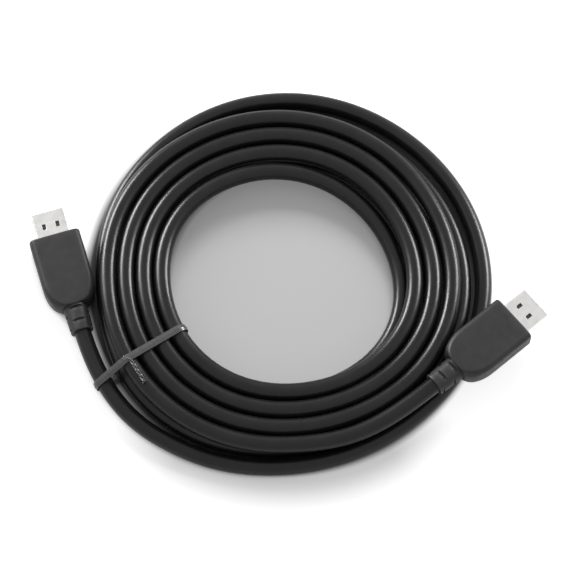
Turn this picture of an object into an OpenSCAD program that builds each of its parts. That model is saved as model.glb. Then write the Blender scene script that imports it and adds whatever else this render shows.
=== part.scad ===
// Audio-video cable: a round cord wound into a two-layer coil, held by a wire tie, with the
// same flat-nosed plug on both ends. Plug a lies on the surface beside the coil, and plug b
// lies on the coil's lower layer. Each plug is drawn in its own frame: +X out of the nose,
// +Z up, x = 0 at the hood's front face and z = 0 on the cord's axis.

/* [Cord] */
// Outer diameter of the jacket
cord_d = 6.8; // [6.4:0.1:7.2]
// Space round the jacket where it runs through a hood
cord_fit = 0.1; // [0.05:0.05:0.2]

/* [Coil] */
// Radius of the outermost turn's axis where the coil starts
coil_r = 82; // [80:0.5:95]
// Free space between neighbouring turns of the lower layer
lower_gap = 1.25; // [1.2:0.05:1.5]
// Free space between neighbouring turns of the upper layer
upper_gap = 0.6; // [0.55:0.05:0.7]
// Free space between the layers
layer_gap = 0.7; // [0.6:0.1:1]
// Turns of the lower layer, wound inwards
lower_turns = 4.47; // [4.42:0.01:4.52]
// Turns of the upper layer, wound outwards
upper_turns = 3.6; // [3.55:0.01:3.65]
// Plan angle at which the coil starts
start_angle = 244; // [242:1:246]

/* [Plug places] */
// Plan angle that plug a's nose points to
plug_a_angle = 107; // [104:1:110]
// How far plug a's axis lies outside the coil's first turn
plug_a_out = 2.8; // [2.6:0.1:4]
// From the point nearest to the coil's middle to plug a's hood face
plug_a_reach = 42.5; // [42:0.5:46]
// Plan angle that plug b's nose points to
plug_b_angle = 40; // [38:1:42]
// How far plug b's axis lies outside the coil's last turn
plug_b_out = 1.8; // [1.6:0.1:3]
// From the point nearest to the coil's middle to plug b's hood face
plug_b_reach = 54.5; // [54:0.5:58]
// Space between a resting piece and what it rests on
seat_gap = 0.3; // [0.2:0.05:0.4]

/* [Metal nose] */
// Width of the shell
nose_w = 13.9; // [13.5:0.1:14.3]
// Height of the shell
nose_h = 4.45; // [4.3:0.05:4.6]
// Width of the shell's narrow side, between the two slanted edges
nose_narrow_w = 10.2; // [9.6:0.1:10.8]
// Height of the shell's upright side walls
nose_side_h = 2.6; // [2.4:0.1:2.8]
// Thickness of the shell's sheet
shell_t = 0.35; // [0.3:0.05:0.4]
// Length of the shell in front of the hood
nose_len = 11.4; // [11:0.2:12.4]
// Length of the shell inside the hood
shell_rear = 8; // [7.5:0.1:8.4]
// Length of a latch window, along the plug
window_len = 2.4; // [1.8:0.1:2.8]
// Width of a latch window
window_w = 1.5; // [1.2:0.1:2]
// From the hood's face to the middle of the windows
window_x = 5.2; // [4.6:0.1:6]
// Distance between the two windows of one side, middle to middle
window_gap = 5.6; // [5:0.1:6.4]

/* [Contacts] */
// Contacts of the upper row
upper_count = 10; // [8:1:10]
// Contacts of the lower row
lower_count = 9; // [7:1:9]
// Distance between neighbouring contacts of a row
contact_pitch = 1; // [0.96:0.01:1.04]
// Width of a contact blade
contact_w = 0.4; // [0.36:0.01:0.46]
// Thickness of a contact blade
contact_t = 0.25; // [0.2:0.01:0.3]
// How far the contacts stand back from the carrier's front
contact_back = 0.8; // [0.6:0.1:1.2]
// Length of the solder tails behind the carrier
tail_len = 3; // [2.8:0.1:3.2]

/* [Contact carrier] */
// How far the carrier's front stands back from the shell's edge
carrier_back = 1; // [0.8:0.1:1.4]
// Height of the slot for the mating tongue
slot_h = 1.9; // [1.8:0.05:2]
// Width of the slot for the mating tongue
slot_w = 12.2; // [11.8:0.1:12.4]
// Depth of the slot for the mating tongue
slot_depth = 8; // [7:0.2:8.6]
// Space between pieces that nest in each other
fit = 0.05; // [0.03:0.01:0.08]

/* [Wires] */
// Diameter of one insulated wire
wire_d = 0.6; // [0.5:0.02:0.62]
// Distance between the wires where they enter the cord
wire_pitch = 0.9; // [0.86:0.01:0.96]
// From the hood's face to the end of the stripped jacket
jacket_end = 21.5; // [21.2:0.1:22]
// From the hood's face to the middle of the wire comb
comb_x = 13; // [12.6:0.1:13.4]
// Length of the wire comb, along the plug
comb_len = 1.6; // [1.2:0.1:1.8]

/* [Shield cans] */
// Thickness of the cord's jacket
jacket_t = 0.6; // [0.5:0.05:0.7]
// Thickness of the cans' sheet
can_t = 0.3; // [0.25:0.05:0.35]
// From the hood's face to the front edge of the cans
can_front = 3.5; // [3:0.1:4]
// From the hood's face to the rear edge of the cans
can_rear = 19.5; // [19:0.1:20]
// Length of the crimp band on the cord
band_len = 3.4; // [2.8:0.1:3.6]
// From the hood's face to the front edge of the crimp band
band_x = 22.4; // [22.2:0.1:22.8]
// Width of the strip that carries the band
strap_w = 3; // [2.4:0.1:3.6]

/* [Inner mould] */
// Width of the inner mould
inner_w = 17; // [16.6:0.1:17.4]
// Height of the inner mould
inner_h = 8.4; // [8.2:0.1:8.6]
// Length of the inner mould's wide part
inner_len = 19; // [18.6:0.1:19.4]
// Diameter of the inner mould's tail, round the crimp band
inner_tail_d = 9; // [8.8:0.1:9.2]
// From the hood's face to the end of that tail
inner_end = 27.5; // [27:0.1:28]

/* [Hood] */
// Width of the hood
hood_w = 20.8; // [20:0.2:21.4]
// Height of the hood
hood_h = 11; // [10.6:0.1:11.4]
// Length of the hood's straight part
hood_len = 20; // [19.6:0.1:20.6]
// Length of the curved shoulder behind it
shoulder_len = 11; // [10.4:0.2:11.4]
// Length of the ribbed strain relief
relief_len = 11; // [10:0.2:13]
// Diameter of the strain relief at the shoulder
relief_d = 9.8; // [9.6:0.1:10.2]
// Diameter of the strain relief at its end
relief_end_d = 9.2; // [9:0.1:9.6]
// Height of the step between the shoulder and the strain relief
relief_step = 0.3; // [0.2:0.05:0.4]
// Radius of the hood's long edges
edge_r = 2.6; // [2:0.1:3.4]
// Thickness of the hood's front wall
front_wall = 1.2; // [1:0.1:1.5]
// Width of the hood's rounded front edge
front_edge = 0.7; // [0.4:0.1:1]
// Slots of the strain relief, counted along it
slot_rows = 4; // [3:1:5]
// Width of a slot, along the relief
relief_slot_w = 1.1; // [0.8:0.1:1.2]
// Depth of a slot
relief_slot_depth = 0.7; // [0.5:0.05:0.8]

/* [Tie] */
// Width of the tie's ribbon
tie_w = 3; // [2.4:0.1:4]
// Thickness of the tie's ribbon
tie_t = 0.8; // [0.6:0.05:1]
// Plan angle at which the tie goes round the coil
tie_angle = 212; // [211:0.5:213]
// Space between the ribbon and the cord
tie_fit = 0.2; // [0.15:0.05:0.3]
// Length of the tie's twisted ends
twist_len = 12; // [9:0.5:14]
// Diameter of the tie's twisted ends
twist_d = 1.6; // [1.4:0.1:2]

/* [Hidden] */

round_fn = 32;            // true circles
blend_fn = 32;            // circles inside a hull
comb_hole_sides = 8;      // the small holes of the wire comb are plain polygons
overcut = 1;              // how far a cut runs past the faces it opens

// ---- the cord's route ------------------------------------------------------------------
coil_at = [0.05, 0.12] * cord_d;  // the coil's middle, which centres the cable on the origin
rings_per_turn = 24;
coil_sides = 6;
lead_sides = 10;
lower_pitch = cord_d + lower_gap;
upper_pitch = cord_d + upper_gap;
layer_step = cord_d + layer_gap;
floor_cut = cord_d / 10;  // depth of the flat on the turns that lie on the surface
low_z = cord_d / 2 - floor_cut;
inner_r = coil_r - lower_pitch * lower_turns;
last_r = inner_r + upper_pitch * upper_turns;
turn_back = start_angle + 360 * lower_turns;   // plan angle where the spiral reverses

// Rings lie at whole steps from the reversal, and the last step at each end may be a long one.
short_step = 0.3;
lower_rings = floor(rings_per_turn * lower_turns - short_step);
upper_rings = floor(rings_per_turn * upper_turns - short_step);

// The turns rise over the tie's ribbon.
tie_lift = tie_t + 2 * tie_fit + floor_cut;
lift_reach = 40;

// A coil wound by hand isn't round. Its inner turns lie off the middle of the outermost one,
// and at some plan angles the turns swell or are pressed in, as they are by plug a's hood.
// Each row has the angle, the reach to either side, and how far the outermost and the
// innermost turn lie further out there, in cord diameters.
inner_off = [-0.36, -0.25] * cord_d;
swells = [[300, 60, -0.44, 0], [98, 60, 0.35, 0], [225, 45, 0.38, 0], [188, 36, -0.4, -0.1],
    [335, 60, 0, 0.45], [150, 40, 0, 0.2]];
back_share = 0.18;   // how much of the outermost turn's shape the upper layer's last turn has

function near(angle, middle, reach) =
    let (off = abs((angle - middle + 180) % 360 - 180))
    off < reach ? pow(cos(90 * off / reach), 2) : 0;
function lift(angle) = tie_lift * near(angle % 360, tie_angle, lift_reach);
function ease(x) = let (t = min(1, max(0, x))) t * t * (3 - 2 * t);
function unit(v) = v / norm(v);
function mix(p, q, t) = p + (q - p) * t;

// depth is 0 at the outermost turn and 1 at the innermost.
function swell(angle, depth) =
    let (parts = [for (s = swells) cord_d * near(angle % 360, s[0], s[1]) * mix(s[2], s[3], depth)])
    parts * [for (part = parts) 1];
function beside(angle, r, depth, z) =
    [coil_at.x + depth * inner_off.x + r * cos(angle),
     coil_at.y + depth * inner_off.y + r * sin(angle), z];

// turn counts from the point where the spiral reverses: below 0 is the lower layer.
function coil_point(turn) =
    let (angle = turn_back + 360 * turn,
         depth = turn < 0 ? 1 + turn / lower_turns : 1 - back_share * turn / upper_turns,
         r = inner_r + (turn < 0 ? -lower_pitch : upper_pitch) * turn + swell(angle, depth))
    beside(angle, r, depth, low_z + layer_step * ease(2 * turn + 0.5) + lift(angle));

function coil_way(turn) = unit(coil_point(turn + 0.001) - coil_point(turn - 0.001));
function level(v) = unit([v.x, v.y, 0]);

coil_start = coil_point(-lower_turns) - cord_d * level(coil_way(-lower_turns));
coil_end = coil_point(upper_turns) + cord_d * level(coil_way(upper_turns));
coil_route = concat(
    [coil_start, coil_point(-lower_turns)],
    [for (i = [-lower_rings:upper_rings]) coil_point(i / rings_per_turn)],
    [coil_point(upper_turns), coil_end]
);

// ---- the plugs' places -----------------------------------------------------------------
hood_total = hood_len + shoulder_len + relief_len;
plug_a_z = hood_h / 2;
plug_b_z = low_z + cord_d / 2 + seat_gap + hood_h / 2;

// side is +1 where the coil's middle is on the plug's right, and -1 on its left.
function plug_face(angle, r, reach, side, z) = [
    coil_at.x + r * cos(angle + 90 * side) + reach * cos(angle),
    coil_at.y + r * sin(angle + 90 * side) + reach * sin(angle),
    z
];
face_a = plug_face(plug_a_angle, coil_r + plug_a_out, plug_a_reach, 1, plug_a_z);
face_b = plug_face(plug_b_angle, last_r + plug_b_out, plug_b_reach, -1, plug_b_z);
function behind_a(x) = face_a - x * [cos(plug_a_angle), sin(plug_a_angle), 0];
function behind_b(x) = face_b - x * [cos(plug_b_angle), sin(plug_b_angle), 0];

// Points chosen by hand between each hood and the coil: plan angle, cord diameters outside the
// turn that the cord leaves, and share of the way up from that turn to the plug.
way_a = [[206, 0.51, 0.82], [217, 0.63, 0.64], [228, 0.63, 0.46]];
way_b = [[286, 0.1, 0.1], [297, 0.22, 0.46], [307, 0.25, 0.87]];
function beside_turn(way, r, depth, turn_z, plug_z) = [for (p = way)
    beside(p[0], r + p[1] * cord_d, depth, mix(turn_z, plug_z, p[2]))];

// ---- swept tubes -----------------------------------------------------------------------
function way_at(route, i) = let (last = len(route) - 1)
    i == 0 || i == last ? level(route[min(i + 1, last)] - route[max(i - 1, 0)])
    : unit(unit(route[i + 1] - route[i]) + unit(route[i] - route[i - 1]));

// A corner of the section points straight down, so that the flat has the same width all round.
function ring(centre, way, r, sides) =
    let (side = unit(cross(way, [0, 0, 1])), up = cross(side, way))
    [for (k = [0:sides - 1]) let (a = 360 * k / sides - 90)
        centre + r * cos(a) * side + r * sin(a) * up];

// A closed skin over rings of points, each with as many points as the next.
module skin(rings) {
    sides = len(rings[0]);
    walls = [for (i = [0:len(rings) - 2], k = [0:sides - 1])
        let (p = i * sides + k, q = i * sides + (k + 1) % sides)
        each [[p, q, q + sides], [p, q + sides, p + sides]]];
    first = [for (k = [1:sides - 2]) [0, k + 1, k]];
    end = (len(rings) - 1) * sides;
    last = [for (k = [1:sides - 2]) [end, end + k, end + k + 1]];
    polyhedron([for (r = rings) each r], concat(walls, first, last), convexity = 20);
}

module tube(route, r, sides) {
    skin([for (i = [0:len(route) - 1]) ring(route[i], way_at(route, i), r, sides)]);
}

// Smooth points between four neighbouring ones.
function between(p0, p1, p2, p3, t) =
    0.5 * (2 * p1 + t * (p2 - p0) + t * t * (2 * p0 - 5 * p1 + 4 * p2 - p3)
    + t * t * t * (3 * p1 - p0 - 3 * p2 + p3));
function smooth(route, steps) = let (last = len(route) - 1)
    [for (i = [1:last - 2], s = [0:steps - 1])
        between(route[i - 1], route[i], route[i + 1], route[i + 2], s / steps)];

lead_steps = 3;
knots_a = concat([behind_a(hood_total), behind_a(hood_total + cord_d)],
    beside_turn(way_a, coil_r, 0, low_z, plug_a_z),
    [coil_start - cord_d * level(coil_way(-lower_turns)), coil_start]);
knots_b = concat([coil_end, coil_end + cord_d * level(coil_way(upper_turns))],
    beside_turn(way_b, last_r, 1 - back_share, low_z + layer_step, plug_b_z),
    [behind_b(hood_total + cord_d), behind_b(hood_total)]);
lead_route_a = concat([behind_a(jacket_end), behind_a(hood_total)],
    smooth(knots_a, lead_steps), [knots_a[5], coil_start]);
lead_route_b = concat([coil_end],
    smooth(knots_b, lead_steps), [knots_b[5], behind_b(hood_total), behind_b(jacket_end)]);

function route_length(route) =
    let (steps = [for (i = [1:len(route) - 1]) norm(route[i] - route[i - 1])])
    steps * [for (s = steps) 1];

// Distance from a point to the straight piece between a and b.
function off_piece(p, a, b) =
    let (t = min(1, max(0, (p - a) * (b - a) / ((b - a) * (b - a)))))
    norm(p - a - t * (b - a));
round_gap = min([for (i = [0:len(coil_route) - 1], j = [i + rings_per_turn / 2:len(coil_route) - 2])
    off_piece(coil_route[i], coil_route[j], coil_route[j + 1])]) - cord_d;

// The solid coil has a section with flats, so its own gap between two rings of different turns
// is the distance of their centres less how far each ring's corners reach towards the other.
coil_rings = [for (i = [0:len(coil_route) - 1])
    ring(coil_route[i], way_at(coil_route, i), cord_d / 2, coil_sides)];
function reach(i, way) = max([for (corner = coil_rings[i]) (corner - coil_route[i]) * way]);
function apart(i, j) = let (off = coil_route[j] - coil_route[i])
    norm(off) - reach(i, unit(off)) - reach(j, -unit(off));
self_gap = min([for (i = [0:len(coil_route) - 1], j = [i + rings_per_turn / 2:len(coil_route) - 1])
    apart(i, j)]);
echo(least_gap_of_the_coil_to_itself = self_gap);
echo(least_gap_of_a_full_round_cord_there = round_gap);
echo(cord_between_the_hoods = route_length(coil_route) + route_length(lead_route_a)
    + route_length(lead_route_b) - 2 * (hood_total - jacket_end));

// ---- shared shapes of the plug ---------------------------------------------------------
slant = atan2((nose_w - nose_narrow_w) / 2, nose_h - nose_side_h);

// The shell's outline, moved outwards by grow: a rectangle whose two lower corners are cut.
module nose_outline(grow) {
    side_y = nose_w / 2 + grow;
    cut_z = nose_h / 2 - nose_side_h - grow * tan(slant / 2);
    low_y = nose_narrow_w / 2 + grow * tan(45 - slant / 2);
    top_z = nose_h / 2 + grow;
    polygon([[-side_y, top_z], [-side_y, cut_z], [-low_y, -top_z],
        [low_y, -top_z], [side_y, cut_z], [side_y, top_z]]);
}

// Stands an outline of width and height up, and runs it back from x = front to x = rear.
module along(front, rear) {
    translate([rear, 0, 0]) rotate([90, 0, 90]) linear_extrude(front - rear) children();
}

module round_box(w, h, r) {
    square([w - 2 * r, h], center = true);
    square([w, h - 2 * r], center = true);
    for (y = [-1, 1], z = [-1, 1])
        translate([y * (w / 2 - r), z * (h / 2 - r)]) circle(r, $fn = round_fn);
}

module on_axis(front, rear, d) {
    along(front, rear) circle(d = d, $fn = round_fn);
}

module at_plug(face, angle) {
    translate(face) rotate([0, 0, angle]) children();
}

// ---- the plug's pieces -----------------------------------------------------------------
carrier_front = nose_len - carrier_back;

module shell() {
    color("lightgray") difference() {
        along(nose_len, -shell_rear) nose_outline(0);
        along(nose_len + overcut, -shell_rear - overcut) nose_outline(-shell_t);
        for (y = [-1, 1])
            translate([window_x, y * window_gap / 2, 0])
                cube([window_len, window_w, nose_h + 2 * overcut], center = true);
    }
}

function row_y(i, count) = (i - (count - 1) / 2) * contact_pitch;

// One blade: a strip along the slot's wall, with a round crown near its front.
module blade(grow) {
    front = carrier_front - contact_back + grow;
    rear = -shell_rear - tail_len;
    translate([rear, -contact_w / 2 - grow, slot_h / 2 - grow])
        cube([front - rear, contact_w + 2 * grow, contact_t + 2 * grow]);
}

crown_r = 0.8;
crown_out = 0.2;

module crowned_blade() {
    blade(0);
    intersection() {
        translate([carrier_front - contact_back - crown_r, 0, slot_h / 2 + crown_r - crown_out])
            rotate([90, 0, 0]) cylinder(h = contact_w, r = crown_r, center = true, $fn = round_fn);
        translate([-shell_rear, -contact_w, 0])
            cube([nose_len + shell_rear, 2 * contact_w, slot_h / 2 + contact_t / 2]);
    }
}

module upper_row() {
    for (i = [0:upper_count - 1]) translate([0, row_y(i, upper_count), 0]) children();
}

module lower_row() {
    for (i = [0:lower_count - 1]) translate([0, row_y(i, lower_count), 0])
        mirror([0, 0, 1]) children();
}

module contact_carrier() {
    color("dimgray") difference() {
        along(carrier_front, -shell_rear) nose_outline(-shell_t - fit);
        translate([carrier_front - slot_depth, -slot_w / 2, -slot_h / 2])
            cube([slot_depth + overcut, slot_w, slot_h]);
        upper_row() blade(fit);
        lower_row() blade(fit);
    }
}

module upper_contacts() {
    color("gold") upper_row() crowned_blade();
}

module lower_contacts() {
    color("gold") lower_row() crowned_blade();
}

// ---- wires -----------------------------------------------------------------------------
// A wire lies on its solder tail, runs straight through the comb, then leans towards the cord.
solder_lap = 1.6;
wire_z = slot_h / 2 + contact_t + wire_d / 2 + fit;
wire_front = -shell_rear - tail_len + solder_lap;
wire_clear = 0.3;         // from the comb to the bend, and from the end of the bend to the can
wire_bend = -comb_x - comb_len / 2 - wire_clear;
wire_narrow = can_t - can_rear + wire_clear;
wire_sides = 6;

module wire(i, count) {
    front_y = row_y(i, count);
    rear_y = (floor(i / 2) - floor((count - 1) / 2) / 2) * wire_pitch;
    rear_z = (i % 2 + 0.5) * wire_pitch;
    tube([[wire_front, front_y, wire_z], [wire_bend, front_y, wire_z],
        [wire_narrow, rear_y, rear_z], [-jacket_end, rear_y, rear_z]],
        wire_d / 2, wire_sides);
}

module wires() {
    color("firebrick") {
        for (i = [0:upper_count - 1]) wire(i, upper_count);
        for (i = [0:lower_count - 1]) mirror([0, 0, 1]) wire(i, lower_count);
    }
}

module comb_hole() {
    translate([-comb_x, 0, wire_z]) rotate([0, 90, 0])
        cylinder(h = comb_len + overcut, d = wire_d + 4 * fit, center = true,
            $fn = comb_hole_sides);
}

module wire_comb() {
    color("ivory") difference() {
        along(-comb_x + comb_len / 2, -comb_x - comb_len / 2) nose_outline(0);
        upper_row() comb_hole();
        lower_row() comb_hole();
    }
}

// ---- shield cans -----------------------------------------------------------------------
band_in_d = cord_d + 2 * cord_fit;
band_out_d = band_in_d + 2 * can_t;
band_slit = 0.6;

// Everything above the plug's middle, less half of the joint between the two cans.
module upper_half() {
    translate([-inner_end, -hood_w / 2, fit / 2]) cube([inner_end, hood_w, hood_h]);
}

// The cans follow the shell's outline, and their round rear wall matches the crimp band.
module can_wall() {
    difference() {
        union() {
            along(-can_front, -can_rear) nose_outline(fit + can_t);
            on_axis(-can_rear + can_t, -can_rear, band_out_d);
        }
        along(-can_front + overcut, -can_rear + can_t) nose_outline(fit);
        on_axis(-can_rear + can_t + overcut, -can_rear - overcut, cord_d - 2 * jacket_t);
    }
}

module upper_can() {
    color("silver") intersection() {
        can_wall();
        upper_half();
    }
}

// Leaves only the strip under the cord between the rear wall and the band.
module beside_strap() {
    translate([-band_x, strap_w / 2, -band_out_d / 2]) children();
    translate([-band_x, -strap_w / 2 - band_out_d, -band_out_d / 2]) children();
    translate([-band_x, -band_out_d / 2, 0]) children();
}

module lower_can() {
    color("silver") {
        intersection() {
            can_wall();
            mirror([0, 0, 1]) upper_half();
        }
        difference() {
            on_axis(-can_rear, -band_x - band_len, band_out_d);
            on_axis(-can_rear + overcut, -band_x - band_len - overcut, band_in_d);
            translate([-band_x - band_len - overcut, -band_slit / 2, 0])
                cube([band_len + 2 * overcut, band_slit, band_out_d]);
            beside_strap() cube([band_x - can_rear, band_out_d, band_out_d]);
        }
    }
}

// ---- mouldings -------------------------------------------------------------------------
inner_r_edge = 2;

module inner_shape(grow) {
    along(-front_wall + grow, -front_wall - inner_len - grow)
        round_box(inner_w + 2 * grow, inner_h + 2 * grow, inner_r_edge + grow);
    on_axis(-front_wall - inner_len, -inner_end - grow, inner_tail_d + 2 * grow);
}

module inner_mould() {
    color("whitesmoke") difference() {
        inner_shape(0);
        along(overcut, -can_front - fit) nose_outline(fit);
        along(-can_front + fit, -can_rear - fit) nose_outline(can_t + 2 * fit);
        on_axis(-can_rear, -inner_end - overcut, band_in_d);
        on_axis(-can_rear + can_t + fit, -band_x - band_len - fit, band_out_d + 2 * fit);
    }
}

// The hood's outside is a skin over upright sections: a rounded front edge, the straight part,
// the curved shoulder, and the strain relief behind a small step.
corner_steps = 6;
edge_angles = [0:45:90];
shoulder_angles = [0:15:90];
end_d = relief_d + 2 * relief_step;
end_share = 0.48;         // corner radius over diameter: under half, so that no two points meet
relief_front = hood_len + shoulder_len;

function section(x, w, h, r) =
    [for (corner = [0:3], k = [0:corner_steps])
        let (a = 90 * (corner + k / corner_steps),
             y = (corner == 0 || corner == 3 ? 1 : -1) * (w / 2 - r),
             z = (corner < 2 ? 1 : -1) * (h / 2 - r))
        [-x, y + r * cos(a), z + r * sin(a)]];

module hood_outside() {
    skin(concat(
        [for (a = edge_angles) let (inset = front_edge * (1 - sin(a)))
            section(front_edge * (1 - cos(a)), hood_w - 2 * inset, hood_h - 2 * inset,
                edge_r - inset)],
        [for (a = shoulder_angles) let (t = 1 - cos(a))
            section(hood_len + shoulder_len * sin(a), mix(hood_w, end_d, t),
                mix(hood_h, end_d, t), mix(edge_r, end_share * end_d, t))],
        [for (end = [[relief_front, relief_d], [hood_total, relief_end_d]])
            section(end[0], end[1], end[1], end_share * end[1])]
    ));
}

// Slots lie above and below the cord in one row, and beside it in the next.
module relief_slots() {
    pitch = relief_len / slot_rows;
    for (i = [0:slot_rows - 1], side = [-1, 1])
        translate([-relief_front - (i + 0.5) * pitch, 0, 0]) rotate([90 * (i % 2), 0, 0])
            translate([0, 0, side * (relief_end_d / 2 - relief_slot_depth + relief_d / 2)])
                cube([relief_slot_w, relief_d, relief_d], center = true);
}

module hood() {
    color("#2b2b2d") difference() {
        hood_outside();
        relief_slots();
        along(overcut, -front_wall - overcut) nose_outline(fit);
        inner_shape(fit);
        on_axis(-inner_end, -hood_total - overcut, cord_d + 2 * cord_fit);
    }
}

// ---- cord ------------------------------------------------------------------------------
// Cuts the cord flat where it lies on the surface.
module on_surface() {
    size = 4 * coil_r;
    difference() {
        children();
        translate([-size / 2, -size / 2, -cord_d]) cube([size, size, cord_d]);
    }
}

module cord_coil() {
    color("#1a1a1a") on_surface() tube(coil_route, cord_d / 2, coil_sides);
}

module cord_lead_a() {
    color("#1a1a1a") on_surface() tube(lead_route_a, cord_d / 2, lead_sides);
}

module cord_lead_b() {
    color("#1a1a1a") tube(lead_route_b, cord_d / 2, lead_sides);
}

// ---- tie -------------------------------------------------------------------------------
// The ribbon is pulled tight round the turns that lie on the outside of the coil's section.
function polar(point) = [norm([point.x - coil_at.x, point.y - coil_at.y]), point.z];
function angle_of(point) = (atan2(point.y - coil_at.y, point.x - coil_at.x) + 360) % 360;
// Where a route crosses the tie's plane: distance from the coil's middle, and height.
function crossings(route) = [for (i = [0:len(route) - 2])
    let (a = angle_of(route[i]), b = angle_of(route[i + 1]))
    if (a <= tie_angle && tie_angle < b)
        polar(mix(route[i], route[i + 1], (tie_angle - a) / (b - a)))];
coil_at_tie = crossings(coil_route);
turns_at_tie = concat(coil_at_tie, crossings(lead_route_a));

module tie_outline(grow) {
    hull() for (turn = turns_at_tie) translate(turn) circle(cord_d / 2 + grow, $fn = blend_fn);
}

module wire_tie() {
    last = coil_at_tie[len(coil_at_tie) - 1];
    color("#202020") translate([coil_at.x, coil_at.y, 0]) rotate([90, 0, tie_angle])
        translate([0, 0, -tie_w / 2]) {
            linear_extrude(tie_w) difference() {
                tie_outline(tie_fit + tie_t);
                tie_outline(tie_fit);
            }
            translate([last.x, last.y + cord_d / 2 + tie_fit + tie_t / 2 + twist_d / 2, -twist_len])
                cylinder(h = twist_len + tie_w / 2, d = twist_d, $fn = round_fn);
        }
}

// ---- drawn pieces ----------------------------------------------------------------------
at_plug(face_a, plug_a_angle) shell();  // shell_a
at_plug(face_a, plug_a_angle) contact_carrier();  // contact_carrier_a
at_plug(face_a, plug_a_angle) upper_contacts();  // upper_contacts_a
at_plug(face_a, plug_a_angle) lower_contacts();  // lower_contacts_a
at_plug(face_a, plug_a_angle) wire_comb();  // wire_comb_a
at_plug(face_a, plug_a_angle) wires();  // wires_a
at_plug(face_a, plug_a_angle) upper_can();  // upper_can_a
at_plug(face_a, plug_a_angle) lower_can();  // lower_can_a
at_plug(face_a, plug_a_angle) inner_mould();  // inner_mould_a
at_plug(face_a, plug_a_angle) hood();  // hood_a
at_plug(face_b, plug_b_angle) shell();  // shell_b
at_plug(face_b, plug_b_angle) contact_carrier();  // contact_carrier_b
at_plug(face_b, plug_b_angle) upper_contacts();  // upper_contacts_b
at_plug(face_b, plug_b_angle) lower_contacts();  // lower_contacts_b
at_plug(face_b, plug_b_angle) wire_comb();  // wire_comb_b
at_plug(face_b, plug_b_angle) wires();  // wires_b
at_plug(face_b, plug_b_angle) upper_can();  // upper_can_b
at_plug(face_b, plug_b_angle) lower_can();  // lower_can_b
at_plug(face_b, plug_b_angle) inner_mould();  // inner_mould_b
at_plug(face_b, plug_b_angle) hood();  // hood_b
cord_coil();
cord_lead_a();
cord_lead_b();
wire_tie();
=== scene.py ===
import math

import bmesh
import bpy
import numpy as np
from mathutils import Matrix, Vector


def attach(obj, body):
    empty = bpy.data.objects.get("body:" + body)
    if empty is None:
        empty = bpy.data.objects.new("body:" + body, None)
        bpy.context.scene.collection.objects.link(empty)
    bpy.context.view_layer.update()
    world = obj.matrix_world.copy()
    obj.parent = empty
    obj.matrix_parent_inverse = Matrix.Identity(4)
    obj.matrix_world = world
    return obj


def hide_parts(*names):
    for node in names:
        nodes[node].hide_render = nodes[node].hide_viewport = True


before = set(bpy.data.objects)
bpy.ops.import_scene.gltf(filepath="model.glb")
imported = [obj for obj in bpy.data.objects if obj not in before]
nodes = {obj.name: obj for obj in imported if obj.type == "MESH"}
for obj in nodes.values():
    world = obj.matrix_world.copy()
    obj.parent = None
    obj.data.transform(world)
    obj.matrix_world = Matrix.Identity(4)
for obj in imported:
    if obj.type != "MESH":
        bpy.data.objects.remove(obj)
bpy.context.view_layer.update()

# ---- Camera ----------------------------------------------------------------------------
# A long lens looks down on the coil from its front, at 68 degrees above the table.
# Its target lies a little in front of the coil's middle, half way up the cable.
camera_height = math.radians(68.2)
camera_away = 1.136
camera_target = Vector((-0.0009, -0.0027, 0.0050))
camera_back = Vector((0, -math.cos(camera_height), math.sin(camera_height)))
camera = bpy.data.objects.new("camera", bpy.data.cameras.new("camera"))
bpy.context.scene.collection.objects.link(camera)
camera.data.lens = 180
camera.data.sensor_width = 36
camera.location = camera_target + camera_away * camera_back
camera.rotation_euler = (-camera_back).to_track_quat("-Z", "Y").to_euler()
camera.data.clip_start, camera.data.clip_end = 0.05, 20
bpy.context.scene.camera = camera


# ---- Cord ------------------------------------------------------------------------------
# One round cord runs from plug to plug in a black soft plastic jacket. Its lower layer is
# wound inwards on the table and its upper layer outwards on top, and the last stretch of
# each end goes straight into a plug. Sizes and route are those of the CAD part, in metres.
cord_d = 0.0068
cord_sides = 24
table_skim = 0.00002  # what lies on the table stays this far above it
coil_at = Vector((0.05, 0.12, 0)) * cord_d
coil_r = 0.0820
lower_pitch, upper_pitch, layer_step = 0.00805, 0.0074, 0.0075
lower_turns, upper_turns = 4.47, 3.6
start_angle = 244
low_z = 0.00272
inner_r = coil_r - lower_pitch * lower_turns
last_r = inner_r + upper_pitch * upper_turns
turn_back = start_angle + 360 * lower_turns
tie_angle, tie_lift, lift_reach = 212, 0.00188, 40
# the innermost turn's middle lies this far off the coil's, and the upper layer comes back
# from there by a share
inner_off = Vector((-0.36, -0.25, 0)) * cord_d
back_share = 0.18
# plan angle, reach to either side, and how many cord diameters the outermost and the
# innermost turn lie further out there
swells = ((300, 60, -0.44, 0), (98, 60, 0.35, 0), (225, 45, 0.38, 0),
          (188, 36, -0.4, -0.1), (335, 60, 0, 0.45), (150, 40, 0, 0.2))
route_step, spiral_steps, smoothing_passes = 0.0035, 48, 6
# for each plug the way it points, how far outside its turn it lies, how far ahead of the
# coil's middle its face is, and its height
plug_a_angle, plug_a_out, plug_a_reach, plug_a_z = 107, 0.0028, 0.0425, 0.0055
plug_b_angle, plug_b_out, plug_b_reach, plug_b_z = 40, 0.0018, 0.0545, 0.01192


def near(angle, middle, reach):
    """1 at a middle angle, fading to 0 at its reach to either side."""
    off = abs((angle - middle + 180) % 360 - 180)
    return math.cos(math.radians(90 * off / reach)) ** 2 if off < reach else 0


def beside(angle, r, depth, z):
    """depth is 0 at the outermost turn and 1 at the innermost."""
    a = math.radians(angle)
    return coil_at + inner_off * depth + Vector((r * math.cos(a), r * math.sin(a), z))


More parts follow.
